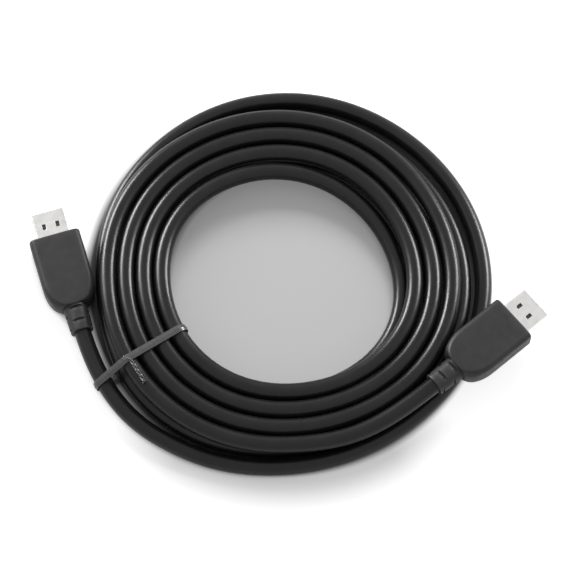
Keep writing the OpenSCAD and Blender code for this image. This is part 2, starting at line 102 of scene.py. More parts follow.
def coil_point(turn):
    """turn counts from where the spiral reverses: below 0 is the lower layer."""
    angle = turn_back + 360 * turn
    depth = 1 + turn / lower_turns if turn < 0 else 1 - back_share * turn / upper_turns
    r = inner_r + (-lower_pitch if turn < 0 else upper_pitch) * turn
    for middle, reach, outermost, innermost in swells:
        r += cord_d * near(angle, middle, reach) * (outermost + (innermost - outermost) * depth)
    t = min(1, max(0, 2 * turn + 0.5))  # the climb takes half a turn
    z = low_z + layer_step * t * t * (3 - 2 * t) + tie_lift * near(angle, tie_angle, lift_reach)
    return beside(angle, r, depth, z)


def plug_place(angle, r, reach, side, z):
    """The middle of a hood's front face, and the way that the plug's nose points."""
    a, b = math.radians(angle), math.radians(angle + 90 * side)
    way = Vector((math.cos(a), math.sin(a), 0))
    foot = coil_at + r * Vector((math.cos(b), math.sin(b), 0))
    return foot + reach * way + Vector((0, 0, z)), way


face_a, way_a = plug_place(plug_a_angle, coil_r + plug_a_out, plug_a_reach, 1, plug_a_z)
face_b, way_b = plug_place(plug_b_angle, last_r + plug_b_out, plug_b_reach, -1, plug_b_z)
jacket_end, hood_total = 0.0215, 0.0420
high_z = low_z + layer_step
# distances behind a plug's face at which the cord still runs straight
straight = (jacket_end, 0.028, 0.035, hood_total, 0.047)
# plan angle, cord diameters outside the turn it leaves, and share of the rise to the plug
lead_a = ((206, 0.51, 0.82), (217, 0.63, 0.64), (228, 0.63, 0.46))
lead_b = ((286, 0.1, 0.1), (297, 0.22, 0.46), (307, 0.25, 0.87))
spiral = np.arange(-lower_turns, upper_turns + 0.001, 1 / spiral_steps)

knots = [face_a - x * way_a for x in straight]
knots += [beside(angle, coil_r + out * cord_d, 0, low_z + up * (face_a.z - low_z))
          for angle, out, up in lead_a]
knots += [coil_point(turn) for turn in spiral]
knots += [beside(angle, last_r + out * cord_d, 1 - back_share, high_z + up * (face_b.z - high_z))
          for angle, out, up in lead_b]
knots += [face_b - x * way_b for x in reversed(straight)]


def smooth_route(points, step):
    """Evenly spaced points on one smooth curve through the given ones."""
    p = np.array([list(q) for q in points])
    for _ in range(smoothing_passes):
        at = np.concatenate([[0], np.cumsum(np.linalg.norm(np.diff(p, axis=0), axis=1))])
        even = np.linspace(0, at[-1], round(at[-1] / step) + 1)
        p = np.stack([np.interp(even, at, p[:, k]) for k in range(3)], axis=1)
        p[2:-2] = (p[:-4] + 4 * p[1:-3] + 6 * p[2:-2] + 4 * p[3:-1] + p[4:]) / 16
    return p


route = smooth_route(knots, route_step)


def tree_with(name, sizes):
    """A Geometry Nodes tree with its geometry sockets and a named input for each size."""
    tree = bpy.data.node_groups.new(name, "GeometryNodeTree")
    face = tree.interface
    face.new_socket("Geometry", in_out="INPUT", socket_type="NodeSocketGeometry")
    face.new_socket("Geometry", in_out="OUTPUT", socket_type="NodeSocketGeometry")
    for label, kind, value in sizes:
        socket = face.new_socket(label, in_out="INPUT", socket_type="NodeSocket" + kind)
        socket.default_value = value
    return tree, tree.nodes.new("NodeGroupInput"), tree.nodes.new("NodeGroupOutput")


def add(tree, kind, inputs=(), **settings):
    """A node with its settings made and its inputs linked to sockets or set to values."""
    node = tree.nodes.new(kind)
    for key, value in settings.items():
        setattr(node, key, value)
    for key, value in dict(inputs).items():
        if isinstance(value, bpy.types.NodeSocket):
            tree.links.new(value, node.inputs[key])
        else:
            node.inputs[key].default_value = value
    return node


def sweep_tree(name, sides):
    """Sweeps a round section along each line, and keeps the straightened coordinates."""
    tree, given, made = tree_with(name, [("Diameter", "Float", 0.001), ("Sides", "Int", sides),
                                         ("Finish", "Material", None)])
    half = add(tree, "ShaderNodeMath", {0: given.outputs["Diameter"], 1: 0.5},
               operation="MULTIPLY")
    lines = add(tree, "GeometryNodeMeshToCurve", {"Mesh": given.outputs["Geometry"]})
    place = add(tree, "GeometryNodeSplineParameter")
    marked = add(tree, "GeometryNodeStoreNamedAttribute",
                 {"Geometry": lines.outputs[0], "Name": "along", "Value": place.outputs["Length"]},
                 data_type="FLOAT", domain="POINT")
    circle = add(tree, "GeometryNodeCurvePrimitiveCircle",
                 {"Resolution": given.outputs["Sides"], "Radius": half.outputs[0]}, mode="RADIUS")
    spot = add(tree, "GeometryNodeInputPosition")
    section = add(tree, "GeometryNodeStoreNamedAttribute",
                  {"Geometry": circle.outputs[0], "Name": "section", "Value": spot.outputs[0]},
                  data_type="FLOAT_VECTOR", domain="POINT")
    tube = add(tree, "GeometryNodeCurveToMesh",
               {"Curve": marked.outputs[0], "Profile Curve": section.outputs[0], "Fill Caps": True})
    real = add(tree, "GeometryNodeRealizeInstances", {"Geometry": tube.outputs[0]})
    done = add(tree, "GeometryNodeSetMaterial",
               {"Geometry": real.outputs[0], "Material": given.outputs["Finish"]})
    tree.links.new(done.outputs[0], made.inputs[0])
    return tree


def line_mesh(name, lines):
    """A mesh of open lines, each with its number as an attribute."""
    mesh = bpy.data.meshes.new(name)
    points, edges, number = [], [], []
    for i, line in enumerate(lines):
        edges += [(len(points) + k, len(points) + k + 1) for k in range(len(line) - 1)]
        points += [tuple(p) for p in line]
        number += [float(i)] * len(line)
    mesh.from_pydata(points, edges, [])
    mesh.attributes.new("number", "FLOAT", "POINT").data.foreach_set("value", number)
    return mesh


def grown(name, mesh, tree, **sizes):
    """Runs a tree on a mesh and returns the result as a plain piece of its own."""
    seed = bpy.data.objects.new(name + "_seed", mesh)
    bpy.context.scene.collection.objects.link(seed)
    modifier = seed.modifiers.new("grow", "NODES")
    modifier.node_group = tree
    for item in tree.interface.items_tree:
        if item.in_out == "INPUT" and item.name in sizes:
            modifier[item.identifier] = sizes[item.name]
    bpy.context.view_layer.update()
    shown = seed.evaluated_get(bpy.context.evaluated_depsgraph_get())
    piece = bpy.data.objects.new(name, bpy.data.meshes.new_from_object(shown))
    bpy.context.scene.collection.objects.link(piece)
    seed.modifiers.clear()
    bpy.data.objects.remove(seed)
    return piece


def smooth_shaded(piece, sharp):
    """Smooth shading that keeps edges sharper than an angle in degrees."""
    piece.data.shade_smooth()
    piece.data.set_sharp_from_angle(angle=math.radians(sharp))
    return piece


def finish(name, colour, roughness, metallic=0.0, specular=0.5):
    """A material whose shader has its plain values set on its own sockets."""
    material = bpy.data.materials.new(name)
    material.use_nodes = True
    tree = material.node_tree
    shader = tree.nodes["Principled BSDF"]
    shader.inputs["Base Color"].default_value = (*colour, 1)
    shader.inputs["Roughness"].default_value = roughness
    shader.inputs["Metallic"].default_value = metallic
    shader.inputs["Specular IOR Level"].default_value = specular
    return material, tree, shader


def mottle(tree, where, scale, low, high):
    """Noise on the given coordinates, spread between two values."""
    noise = add(tree, "ShaderNodeTexNoise", {"Vector": where, "Scale": scale, "Detail": 3.0})
    return add(tree, "ShaderNodeMapRange", {"Value": noise.outputs["Fac"], "From Min": 0.3,
                                            "From Max": 0.7, "To Min": low, "To Max": high})


def shades(tree, factor, dark, light):
    """A colour between two, by a factor."""
    return add(tree, "ShaderNodeMix", {"Factor": factor, 6: (*dark, 1), 7: (*light, 1)},
               data_type="RGBA").outputs[2]


def rough_skin(tree, shader, height, distance, strength=1.0):
    """A fine relief: distance is its depth in metres where height is 1."""
    bump = add(tree, "ShaderNodeBump", {"Height": height, "Distance": distance,
                                        "Strength": strength})
    tree.links.new(bump.outputs[0], shader.inputs["Normal"])


# The jacket is drawn soft plastic: faint lines run along it, a slow unevenness from the
# twisted wires inside turns round it, and its shine varies where it was handled.
jacket, tree, shader = finish("cord_jacket", (0.013, 0.013, 0.0135), 0.3, specular=0.25)
section = add(tree, "ShaderNodeAttribute", attribute_name="section").outputs["Vector"]
along = add(tree, "ShaderNodeAttribute", attribute_name="along").outputs["Fac"]
lay_rate = 95.0  # radians in a metre of cord
wire_twist = add(tree, "ShaderNodeMath", {0: along, 1: lay_rate}, operation="MULTIPLY")
turned = add(tree, "ShaderNodeVectorRotate",
             {"Vector": section, "Axis": (0, 0, 1), "Angle": wire_twist.outputs[0]},
             rotation_type="AXIS_ANGLE")
lay = add(tree, "ShaderNodeSeparateXYZ", {0: turned.outputs[0]})
across = add(tree, "ShaderNodeSeparateXYZ", {0: section})
unrolled = add(tree, "ShaderNodeCombineXYZ", {"X": across.outputs["X"], "Y": across.outputs["Y"],
                                              "Z": along})
drawn = add(tree, "ShaderNodeMapping", {"Vector": unrolled.outputs[0], "Scale": (1, 1, 0.03)})
lines = add(tree, "ShaderNodeTexNoise", {"Vector": drawn.outputs[0], "Scale": 1800.0,
                                         "Detail": 2.0})
grain = add(tree, "ShaderNodeTexNoise", {"Vector": unrolled.outputs[0], "Scale": 5200.0,
                                         "Detail": 1.0})
under = add(tree, "ShaderNodeMath", {0: lay.outputs["X"], 1: 30.0}, operation="MULTIPLY")
fine = add(tree, "ShaderNodeMath", {0: lines.outputs["Fac"], 1: grain.outputs["Fac"]},
           operation="ADD")
height = add(tree, "ShaderNodeMath", {0: fine.outputs[0], 1: under.outputs[0]}, operation="ADD")
rough_skin(tree, shader, height.outputs[0], 0.00002)
tree.links.new(mottle(tree, unrolled.outputs[0], 60.0, 0.26, 0.34).outputs[0],
               shader.inputs["Roughness"])
worn = mottle(tree, unrolled.outputs[0], 140.0, 0.0, 1.0)
tree.links.new(shades(tree, worn.outputs[0], (0.011, 0.011, 0.0115), (0.017, 0.017, 0.0175)),
               shader.inputs["Base Color"])

cord = grown("cord", line_mesh("cord", [route]), sweep_tree("cord_sweep", cord_sides),
             Diameter=cord_d, Sides=cord_sides, Finish=jacket)
points = np.empty(len(cord.data.vertices) * 3, np.float32)
cord.data.vertices.foreach_get("co", points)
points[2::3] = np.maximum(points[2::3], table_skim)
cord.data.vertices.foreach_set("co", points)
smooth_shaded(cord, 60)
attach(cord, "root")
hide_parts("cord_coil", "cord_lead_a", "cord_lead_b")


# ---- Moulded hoods ---------------------------------------------------------------------
# Each plug's hood is one matt dark grey moulding over the inner parts: a flat grip with
# rounded edges and shoulders, and behind a small step the slotted strain relief.
hood_w, hood_h = 0.0208, 0.0110
hood_len, shoulder_len, relief_len = 0.0200, 0.0110, 0.0110
relief_d, relief_end_d, relief_step = 0.0098, 0.0092, 0.0003
hood_edge_r, front_edge, front_wall = 0.0026, 0.0007, 0.0012
slot_rows, slot_w, slot_depth, slot_soft = 4, 0.0011, 0.0007, 0.00012
inner_w, inner_h, inner_len, inner_r_edge = 0.0170, 0.0084, 0.0190, 0.0020
inner_tail_d, inner_end, nest, cord_fit = 0.0090, 0.0275, 0.00005, 0.0001
nose_w, nose_h, nose_narrow_w, nose_side_h = 0.0139, 0.00445, 0.0102, 0.0026
grip_start, step_run, tail_r = 0.003, 0.00002, 0.0004
front_steps, grip_rings, shoulder_steps, ring_points = 6, 9, 24, 112
crown_share = 0.30  # the larger, the rounder a section's flat sides


def turn_angles():
    return [2 * math.pi * (k + 0.5) / ring_points for k in range(ring_points)]


def crowned_ring(x, w, h, r):
    """A round-cornered section whose flat sides keep a slight crown. A circle has r = w / 2."""
    def side(u):
        return math.sin(math.pi / 2 * max(-1.0, min(1.0, u / crown_share)))
    return [Vector((-x, (w / 2 - r) * side(math.cos(a)) + r * math.cos(a),
                    (h / 2 - r) * side(math.sin(a)) + r * math.sin(a))) for a in turn_angles()]


def nose_corners(grow):
    """The corners of the nose's outline, moved outwards."""
    slant = math.atan2((nose_w - nose_narrow_w) / 2, nose_h - nose_side_h)
    side, top = nose_w / 2 + grow, nose_h / 2 + grow
    cut = nose_h / 2 - nose_side_h - grow * math.tan(slant / 2)
    low = nose_narrow_w / 2 + grow * math.tan(math.pi / 4 - slant / 2)
    return [(side, top), (-side, top), (-side, cut), (-low, -top), (low, -top), (side, cut)]


def nose_ring(x, grow, like):
    """The nose's outline, with a point in the direction of each point of another ring."""
    corners, ring = nose_corners(grow), []
    for p in like:
        best = math.inf
        for (y0, z0), (y1, z1) in zip(corners, corners[1:] + corners[:1]):
            ny, nz = z0 - z1, y1 - y0
            reach = ny * p.y + nz * p.z
            if reach * (ny * y0 + nz * z0) > 0:
                best = min(best, (ny * y0 + nz * z0) / reach)
        ring.append(Vector((-x, p.y * best, p.z * best)))
    return ring


def slotted_ring(x, depth, across):
    """A section of the strain relief, flattened on two sides by a slot's depth."""
    share = (x - hood_len - shoulder_len) / relief_len
    r = (relief_d + share * (relief_end_d - relief_d)) / 2
    flat = r - depth * (r - relief_end_d / 2 + slot_depth)
    ring = []
    for a in turn_angles():
        facing = abs(math.sin(a) if across else math.cos(a))
        reach = min(r, flat / facing) if depth else r
        ring.append(Vector((-x, reach * math.cos(a), reach * math.sin(a))))
    return ring


def lofted(name, rings, closed=False):
    """A skin over rings of equal length; an open one gets flat ends."""
    mesh = bmesh.new()
    rows = [[mesh.verts.new(p) for p in ring] for ring in rings]
    n = len(rings[0])
    for i in range(len(rows) if closed else len(rows) - 1):
        one, two = rows[i], rows[(i + 1) % len(rows)]
        for k in range(n):
            mesh.faces.new((one[k], one[(k + 1) % n], two[(k + 1) % n], two[k]))
    if not closed:
        mesh.faces.new(rows[0][::-1])
        mesh.faces.new(rows[-1])
    bmesh.ops.recalc_face_normals(mesh, faces=mesh.faces)
    data = bpy.data.meshes.new(name)
    mesh.to_mesh(data)
    mesh.free()
    piece = bpy.data.objects.new(name, data)
    bpy.context.scene.collection.objects.link(piece)
    return piece


def hood_rings():
    """All rings of a hood, from its front edge back over the outside and through the inside."""
    rings = []
    for k in range(front_steps + 1):
        a = math.pi / 2 / front_steps * k
        inset = front_edge * (1 - math.sin(a))
        rings.append(crowned_ring(front_edge * (1 - math.cos(a)), hood_w - 2 * inset,
                                  hood_h - 2 * inset, hood_edge_r - inset))
    rings += [crowned_ring(x, hood_w, hood_h, hood_edge_r)
              for x in np.linspace(grip_start, hood_len, grip_rings)]
    end_d = relief_d + 2 * relief_step
    for k in range(1, shoulder_steps + 1):
        a = math.pi / 2 / shoulder_steps * k
        t = 1 - math.cos(a)
        rings.append(crowned_ring(hood_len + shoulder_len * math.sin(a),
                                  hood_w + (end_d - hood_w) * t, hood_h + (end_d - hood_h) * t,
                                  hood_edge_r + (end_d / 2 - hood_edge_r) * t))
    front, pitch = hood_len + shoulder_len, relief_len / slot_rows
    rings += [slotted_ring(front + step_run, 0, True)]
    # how far inside a slot's edge each ring lies, and the share of the slot's depth there
    wall = ((-slot_soft, 0), (0, 0.12), (slot_soft / 4, 0.9), (slot_soft, 1))
    for i in range(slot_rows):
        middle = front + (i + 0.5) * pitch
        for x, depth in ([(-slot_w / 2 + inside, depth) for inside, depth in wall]
                         + [(slot_w / 2 - inside, depth) for inside, depth in reversed(wall)]):
            rings.append(slotted_ring(middle + x, depth, i % 2 == 0))
    for x, less in ((hood_total - tail_r, 0), (hood_total - tail_r / 4, tail_r / 4),
                    (hood_total, tail_r)):
        rings.append(crowned_ring(x, relief_end_d - 2 * less, relief_end_d - 2 * less,
                                  relief_end_d / 2 - less))
    # back along the inside: the cord's hole, the room for the inner mould, the nose's hole
    bore = cord_d + 2 * cord_fit
    rings += [crowned_ring(x, bore, bore, bore / 2) for x in (hood_total, inner_end + nest)]
    tail = inner_tail_d + 2 * nest
    rings += [crowned_ring(x, tail, tail, tail / 2)
              for x in (inner_end + nest, front_wall + inner_len + nest)]
    rings += [crowned_ring(x, inner_w + 2 * nest, inner_h + 2 * nest, inner_r_edge + nest)
              for x in (front_wall + inner_len + nest, front_wall - nest)]
    rings += [nose_ring(x, nest, rings[0]) for x in (front_wall - nest, 0)]
    return rings


# The moulding has a fine spark-eroded skin and a parting line half way up. Its edges are
# painted paler, partly as wear from handling and partly as a painted highlight.
def moulding(name, level):
    material, tree, shader = finish(name, (0.045, 0.045, 0.047), 0.5, specular=0.3)
    where = add(tree, "ShaderNodeTexCoord").outputs["Object"]
    pits = add(tree, "ShaderNodeTexVoronoi", {"Vector": where, "Scale": 3800.0})
    cloud = add(tree, "ShaderNodeTexNoise", {"Vector": where, "Scale": 1500.0, "Detail": 3.0})
    split = add(tree, "ShaderNodeSeparateXYZ", {0: where})
    off = add(tree, "ShaderNodeMath", {0: split.outputs["Z"], 1: level}, operation="SUBTRACT")
    away = add(tree, "ShaderNodeMath", {0: off.outputs[0]}, operation="ABSOLUTE")
    line = add(tree, "ShaderNodeMapRange", {"Value": away.outputs[0], "From Min": 0.00003,
                                            "From Max": 0.00012, "To Min": 2.5, "To Max": 0.0})
    skin = add(tree, "ShaderNodeMath", {0: pits.outputs["Distance"], 1: cloud.outputs["Fac"]},
               operation="ADD")
    height = add(tree, "ShaderNodeMath", {0: skin.outputs[0], 1: line.outputs[0]}, operation="ADD")
    rough_skin(tree, shader, height.outputs[0], 0.00003)
    # the sharper an edge, the paler it is painted: handling wear and a painted highlight
    edge = add(tree, "ShaderNodeNewGeometry").outputs["Pointiness"]
    edge_wear_and_highlight = add(tree, "ShaderNodeMapRange", {"Value": edge, "From Min": 0.50, "From Max": 0.58})
    cloudy = mottle(tree, where, 220.0, 0.0, 0.16)
    share = add(tree, "ShaderNodeMath", {0: edge_wear_and_highlight.outputs[0], 1: cloudy.outputs[0]},
                operation="ADD")
    share.use_clamp = True
    tree.links.new(shades(tree, share.outputs[0], (0.021, 0.021, 0.023), (0.085, 0.085, 0.087)),
                   shader.inputs["Base Color"])
    tree.links.new(mottle(tree, where, 300.0, 0.44, 0.56).outputs[0], shader.inputs["Roughness"])
    return material


def placed(piece, face, way):
    """Moves a plug's piece from the plug's own frame to its place, inside its mesh."""
    turn = Matrix.Rotation(math.atan2(way.y, way.x), 4, "Z")
    piece.data.transform(Matrix.Translation(face) @ turn)
    return piece


plugs = {"a": (face_a, way_a), "b": (face_b, way_b)}
for end, (face, way) in plugs.items():
    hood = placed(lofted("moulded_hood_" + end, hood_rings(), closed=True), face, way)
    hood.data.materials.append(moulding("hood_plastic_" + end, face.z))
    smooth_shaded(hood, 35)
    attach(hood, "root")
    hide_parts("hood_" + end)


# ---- Metal noses -----------------------------------------------------------------------
# Each nose is one sheet of nickelled steel, bent into a tube with two slanted edges and
# closed by a butt joint underneath. Two latch windows are punched in each wide side.
sheet_t, nose_len, shell_rear = 0.00035, 0.0114, 0.0080
bend_r, bend_steps = 0.00075, 6
window_len, window_w, window_x, window_gap = 0.0024, 0.0015, 0.0052, 0.0056
joint_gap, edge_soft, tiny = 0.00006, 0.00005, 1e-9


def bent_outline(inset):
    """The nose's outline with rounded bends, from one side of the joint round to the other."""
    corners = [Vector((y, z)) for y, z in nose_corners(0)]
    line = []
    for i, corner in enumerate(corners):
        before = (corners[i - 1] - corner).normalized()
        after = (corners[(i + 1) % len(corners)] - corner).normalized()
        half = before.angle(after) / 2
        middle = corner + (before + after).normalized() * bend_r / math.sin(half)
        start = corner + before * bend_r / math.tan(half) - middle
        stop = corner + after * bend_r / math.tan(half) - middle
        turn = start.angle_signed(stop)
        for k in range(bend_steps + 1):
            arm = Matrix.Rotation(-turn * k / bend_steps, 2) @ start
            line.append(middle + arm * (bend_r - inset) / bend_r)
    # the last corner but one starts the underside, which is cut open at its middle
    cut = 4 * (bend_steps + 1)
    low = Vector((0, -nose_h / 2 + inset))
    return ([low + Vector((joint_gap / 2, 0))] + line[cut:] + line[:cut]
            + [low - Vector((joint_gap / 2, 0))])


def with_windows(outline, other):
    """Adds the windows' edges to both outlines, so that punched faces can be left out."""
    marks = [s * window_gap / 2 + t * window_w / 2 for s in (-1, 1) for t in (-1, 1)]
    one, two = [outline[0]], [other[0]]
    for p, q, u, v in zip(outline, outline[1:], other, other[1:]):
        if abs(p.y - q.y) < tiny:
            cuts = sorted((m - p.x) / (q.x - p.x) for m in marks
                          if min(p.x, q.x) < m < max(p.x, q.x))
            for t in cuts:
                one.append(p.lerp(q, t))
                two.append(Vector((p.lerp(q, t).x, u.lerp(v, t).y)))
        one.append(q)
        two.append(v)
    return one, two


def nose_piece(name):
    """A nose of two walls, joined along its ends, its joint and its windows."""
    outer, inner = with_windows(bent_outline(0), bent_outline(sheet_t))
    rows = sorted([nose_len, -shell_rear, window_x - window_len / 2, window_x + window_len / 2])
    mesh = bmesh.new()
    grid = [[[mesh.verts.new((x, p.x, p.y)) for p in wall] for x in rows]
            for wall in (outer, inner)]

    def punched(i, k):
        if i != 1:
            return False
        y = (outer[k].x + outer[k + 1].x) / 2
        flat = abs(outer[k].y - outer[k + 1].y) < tiny
        return flat and abs(abs(y) - window_gap / 2) < window_w / 2

    cells = [(i, k) for i in range(len(rows) - 1) for k in range(len(outer) - 1)
             if not punched(i, k)]
    for i, k in cells:
        for wall, order in ((grid[0], 1), (grid[1], -1)):
            corners = [wall[i][k], wall[i + 1][k], wall[i + 1][k + 1], wall[i][k + 1]]
            mesh.faces.new(corners[::order])
    for edge in [e for e in mesh.edges if e.is_boundary and e.verts[0] in set(sum(grid[0], []))]:
        pair = []
        for v in edge.verts:
            i, k = next((i, row.index(v)) for i, row in enumerate(grid[0]) if v in row)
            pair.append(grid[1][i][k])
        mesh.faces.new((edge.verts[0], edge.verts[1], pair[1], pair[0]))
    bmesh.ops.recalc_face_normals(mesh, faces=mesh.faces)
    data = bpy.data.meshes.new(name)
    mesh.to_mesh(data)
    mesh.free()
    piece = bpy.data.objects.new(name, data)
    bpy.context.scene.collection.objects.link(piece)
    return piece


# Bright nickel plating: a cloudy tone and small handling scuffs.
nose_metal, tree, shader = finish("nose_metal", (0.70, 0.69, 0.67), 0.3, metallic=1.0)
where = add(tree, "ShaderNodeTexCoord").outputs["Object"]
cloud = add(tree, "ShaderNodeTexNoise", {"Vector": where, "Scale": 260.0, "Detail": 2.0})
scuff = add(tree, "ShaderNodeTexNoise", {"Vector": where, "Scale": 1400.0, "Detail": 2.0})
tree.links.new(mottle(tree, where, 420.0, 0.26, 0.36).outputs[0], shader.inputs["Roughness"])
tree.links.new(shades(tree, cloud.outputs["Fac"], (0.55, 0.545, 0.53), (0.67, 0.665, 0.65)),
               shader.inputs["Base Color"])
rough_skin(tree, shader, scuff.outputs["Fac"], 0.000002, 0.4)

for end, (face, way) in plugs.items():
    nose = placed(nose_piece("metal_nose_" + end), face, way)
    nose.data.materials.append(nose_metal)
    soft = nose.modifiers.new("rounded_edges", "BEVEL")
    soft.width, soft.segments, soft.limit_method = edge_soft, 2, "ANGLE"
    soft.angle_limit = math.radians(50)
    smooth_shaded(nose, 40)
    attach(nose, "root")
    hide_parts("shell_" + end)


# ---- Contact carriers and contacts -----------------------------------------------------
# The carrier is a black glass-filled moulding pressed into the nose, with a slot for the
# mating tongue. Its two rows of spring contacts are copper alloy, plated with gold.
carrier_plastic, tree, shader = finish("carrier_plastic", (0.016, 0.016, 0.017), 0.5)
where = add(tree, "ShaderNodeTexCoord").outputs["Object"]
flow = add(tree, "ShaderNodeTexNoise", {"Vector": where, "Scale": 2600.0, "Detail": 4.0})
tree.links.new(shades(tree, flow.outputs["Fac"], (0.011, 0.011, 0.012), (0.024, 0.024, 0.025)),
               shader.inputs["Base Color"])
tree.links.new(mottle(tree, where, 700.0, 0.42, 0.6).outputs[0], shader.inputs["Roughness"])
rough_skin(tree, shader, flow.outputs["Fac"], 0.00001)

gold, tree, shader = finish("gold_plating", (0.90, 0.66, 0.30), 0.2, metallic=1.0)
where = add(tree, "ShaderNodeTexCoord").outputs["Object"]
plate = add(tree, "ShaderNodeTexNoise", {"Vector": where, "Scale": 2200.0, "Detail": 3.0})
tree.links.new(shades(tree, plate.outputs["Fac"], (0.84, 0.60, 0.25), (0.95, 0.72, 0.36)),
               shader.inputs["Base Color"])
tree.links.new(mottle(tree, where, 1500.0, 0.16, 0.3).outputs[0], shader.inputs["Roughness"])


def dress(node, material):
    """Gives one of the CAD's own solids a material."""
    nodes[node].data.materials.clear()
    nodes[node].data.materials.append(material)


for end in plugs:
    dress("contact_carrier_" + end, carrier_plastic)
    dress("upper_contacts_" + end, gold)
    dress("lower_contacts_" + end, gold)


# ---- Wires and comb --------------------------------------------------------------------
# Nineteen thin insulated wires leave the cord's stripped end, pass through an ivory comb
# that keeps them apart, and are soldered to the contacts' tails. They have six colours.
wire_d, wire_pitch, wire_row_z = 0.0006, 0.0009, 0.00155
tail_end, comb_back, wire_narrow = 0.0094, 0.0141, 0.0189
contact_pitch, upper_count, lower_count = 0.001, 10, 9
wire_sides, corner_cut, corner_passes = 12, 0.2, 3
tone_step = 0.37  # share of the colours' row from one wire to the next


def wire_line(i, count, side):
    """One wire from its contact's tail to the jacket's end; side is -1 for the lower row."""
    y = (i - (count - 1) / 2) * contact_pitch
    rear_y = (i // 2 - (count - 1) // 2 / 2) * wire_pitch
    rear_z = (i % 2 + 0.5) * wire_pitch
    corners = [(-tail_end, y, wire_row_z), (-comb_back, y, wire_row_z),
               (-wire_narrow, rear_y, rear_z), (-jacket_end, rear_y, rear_z)]
    p = np.array(corners)
    for _ in range(corner_passes):
        q = [p[0]]
        for one, two in zip(p, p[1:]):
            q += [one * (1 - corner_cut) + two * corner_cut,
                  one * corner_cut + two * (1 - corner_cut)]
        p = np.array(q + [p[-1]])
    p[:, 2] *= side
    return p


insulation, tree, shader = finish("wire_insulation", (0.4, 0.4, 0.4), 0.38)
where = add(tree, "ShaderNodeTexCoord").outputs["Object"]
number = add(tree, "ShaderNodeAttribute", attribute_name="number").outputs["Fac"]
place = add(tree, "ShaderNodeMath", {0: number, 1: tone_step}, operation="MULTIPLY")
in_row = add(tree, "ShaderNodeMath", {0: place.outputs[0]}, operation="FRACT")
tones = add(tree, "ShaderNodeValToRGB", {"Fac": in_row.outputs[0]})
tones.color_ramp.interpolation = "CONSTANT"
wire_tones = ((0.45, 0.03, 0.02), (0.03, 0.20, 0.05), (0.02, 0.07, 0.35), (0.60, 0.42, 0.04),
              (0.55, 0.55, 0.53), (0.30, 0.12, 0.04))
for k, tone in enumerate(wire_tones):
    stop = (tones.color_ramp.elements[k] if k < 2
            else tones.color_ramp.elements.new(k / len(wire_tones)))
    stop.position = k / len(wire_tones)
    stop.color = (*tone, 1)
dusty = mottle(tree, where, 900.0, 0.0, 0.15)
tree.links.new(add(tree, "ShaderNodeMix", {"Factor": dusty.outputs[0], 6: tones.outputs["Color"],
                                           7: (0.5, 0.5, 0.48, 1)}, data_type="RGBA").outputs[2],
               shader.inputs["Base Color"])

comb_plastic, tree, shader = finish("comb_plastic", (0.72, 0.70, 0.62), 0.5)
where = add(tree, "ShaderNodeTexCoord").outputs["Object"]
tree.links.new(shades(tree, mottle(tree, where, 800.0, 0.0, 1.0).outputs[0], (0.66, 0.64, 0.56),
                      (0.78, 0.76, 0.68)), shader.inputs["Base Color"])
rough_skin(tree, shader, mottle(tree, where, 3000.0, 0.0, 1.0).outputs[0], 0.00001)

wire_sweep = sweep_tree("wire_sweep", wire_sides)
for end, (face, way) in plugs.items():
    lines = ([wire_line(i, upper_count, 1) for i in range(upper_count)]
             + [wire_line(i, lower_count, -1) for i in range(lower_count)])
    wires = placed(grown("insulated_wires_" + end, line_mesh("wires_" + end, lines), wire_sweep,
                         Diameter=wire_d, Sides=wire_sides, Finish=insulation), face, way)
    smooth_shaded(wires, 60)
    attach(wires, "root")
    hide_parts("wires_" + end)
    dress("wire_comb_" + end, comb_plastic)


# ---- Shield cans and inner mould -------------------------------------------------------
# Two tinned steel cans close over the wires, and the lower one is crimped round the cord.
# An off-white inner moulding seals them before the hood is moulded on.
tinned, tree, shader = finish("tinned_sheet", (0.62, 0.62, 0.61), 0.4, metallic=1.0)
where = add(tree, "ShaderNodeTexCoord").outputs["Object"]
grains = add(tree, "ShaderNodeTexVoronoi", {"Vector": where, "Scale": 700.0})
tree.links.new(shades(tree, grains.outputs["Color"], (0.52, 0.52, 0.51), (0.70, 0.70, 0.69)),
               shader.inputs["Base Color"])
tree.links.new(mottle(tree, where, 600.0, 0.32, 0.5).outputs[0], shader.inputs["Roughness"])

seal, tree, shader = finish("pale_mould", (0.74, 0.74, 0.70), 0.45)
where = add(tree, "ShaderNodeTexCoord").outputs["Object"]
flow = add(tree, "ShaderNodeTexNoise", {"Vector": where, "Scale": 350.0, "Detail": 4.0})
tree.links.new(shades(tree, flow.outputs["Fac"], (0.68, 0.68, 0.63), (0.80, 0.80, 0.77)),
               shader.inputs["Base Color"])
rough_skin(tree, shader, flow.outputs["Fac"], 0.00004)

for end in plugs:
    dress("upper_can_" + end, tinned)
    dress("lower_can_" + end, tinned)
    dress("inner_mould_" + end, seal)


# ---- Wire tie --------------------------------------------------------------------------
# A flat plastic ribbon with a steel wire in its middle goes once round the turns, and its
# two ends are twisted together on top of the coil's outermost upper turn.
tie_w, ribbon_t, ridge_t = 0.0030, 0.00045, 0.0008
ribbon_points, ridge_half, wing_power, edge_power = 28, 0.0004, 0.8, 0.6
tie_fit, tie_steps, circle_points = 0.0002, 150, 90
twist_len, twist_pitch, twist_rise, strand_steps = 0.0125, 0.0052, 0.0012, 60
# a strand's width as a share of the ribbon's: at its root, gained along it, and at its tip
strand_share, root_share, share_gain, tip_share = 0.42, 0.35, 2.5, 0.8
# the strands lie this far from the twist's middle, and part further towards their tips
strand_off, parting = 0.00035, 0.0006
part_from, tip_from = 0.8, 0.97


